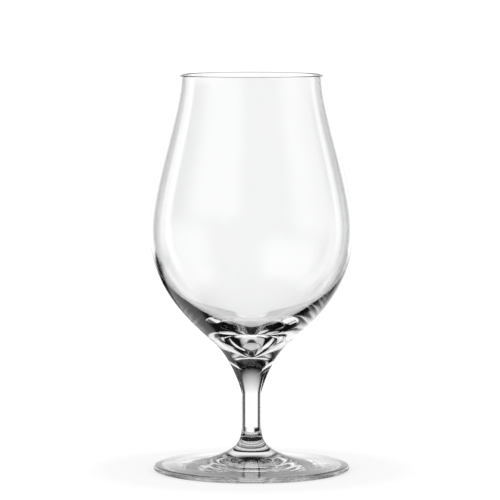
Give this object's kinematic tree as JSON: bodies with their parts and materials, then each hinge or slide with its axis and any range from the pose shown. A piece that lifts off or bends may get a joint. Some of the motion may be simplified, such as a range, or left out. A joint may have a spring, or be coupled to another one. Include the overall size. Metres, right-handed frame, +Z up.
{
  "type": "stemmed beer glass",
  "caption": "Clear crystal tulip beer glass with a wide belly, a narrowed straight lip, a thick solid base, a short thin stem and a broad round foot.",
  "frame": {"origin": "centre of the circle that the foot rests on, at table height", "axes": "+Z up along the glass's axis; the glass is round, so +X and +Y are any two directions across it"},
  "size_m": [0.092, 0.092, 0.179],
  "materials": {
    "bowl_glass": "clear blown crystal, fire polished",
    "stem_glass": "clear drawn crystal, fire polished",
    "foot_glass": "clear pressed crystal, fire polished"
  },
  "bodies": {
    "root": {"bowl": "bowl_glass", "stem": "stem_glass", "foot": "foot_glass"}
  },
  "joints": []
}
